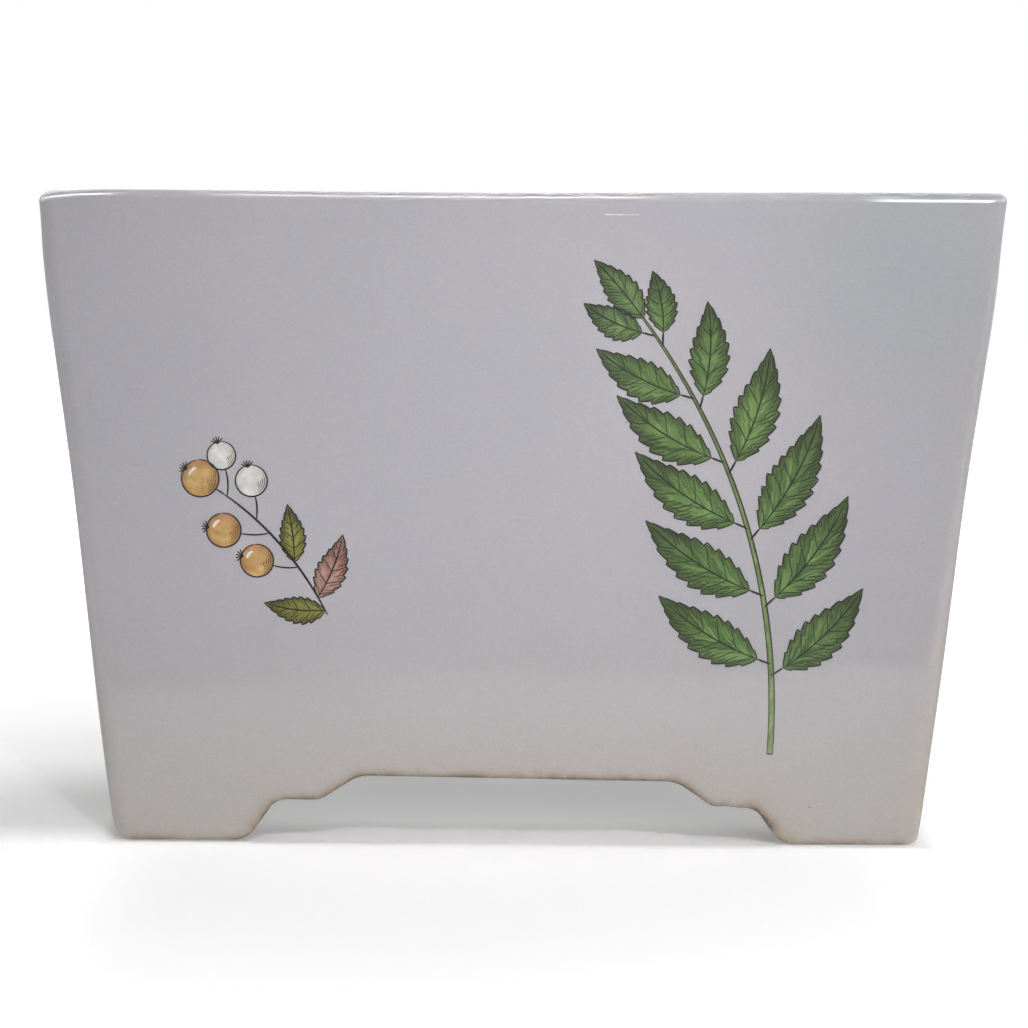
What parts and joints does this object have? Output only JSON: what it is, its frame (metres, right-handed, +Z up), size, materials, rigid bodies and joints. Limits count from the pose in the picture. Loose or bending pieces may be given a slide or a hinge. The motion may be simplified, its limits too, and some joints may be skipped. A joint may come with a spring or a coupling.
{
  "type": "square planter",
  "caption": "Square glazed ceramic planter with sides that lean outwards, a round rim, bracket feet under arched aprons, and a drain hole in its raised floor.",
  "frame": {"origin": "on the ground, under the middle of the planter", "axes": "+Z up, the painted front wall faces -Y, +X to the right as seen from the front"},
  "size_m": [0.2994, 0.2994, 0.207],
  "materials": {
    "outer_glaze": "glossy pale lilac grey glaze, warm where it thins over edges",
    "inner_glaze": "the same glaze, laid on a little thinner inside",
    "thin_glaze": "glaze thinned to a warm beige over the clay",
    "leaf_enamel": "glossy green painted enamel, brushed unevenly",
    "line_enamel": "glossy green-black painted outline",
    "ochre_enamel": "glossy ochre and tan painted enamel",
    "white_enamel": "glossy opaque white painted enamel"
  },
  "bodies": {
    "root": {"front_wall": "outer_glaze", "right_wall": "outer_glaze", "rear_wall": "outer_glaze", "left_wall": "outer_glaze", "floor_slab": "inner_glaze", "corner_coil_front_right": "inner_glaze", "corner_coil_rear_right": "inner_glaze", "corner_coil_rear_left": "inner_glaze", "corner_coil_front_left": "inner_glaze", "floor_coil_front": "inner_glaze", "floor_coil_right": "inner_glaze", "floor_coil_rear": "inner_glaze", "floor_coil_left": "inner_glaze", "foot_coil_front_right": "thin_glaze", "foot_coil_rear_right": "thin_glaze", "foot_coil_rear_left": "thin_glaze", "foot_coil_front_left": "thin_glaze"}
  },
  "joints": []
}
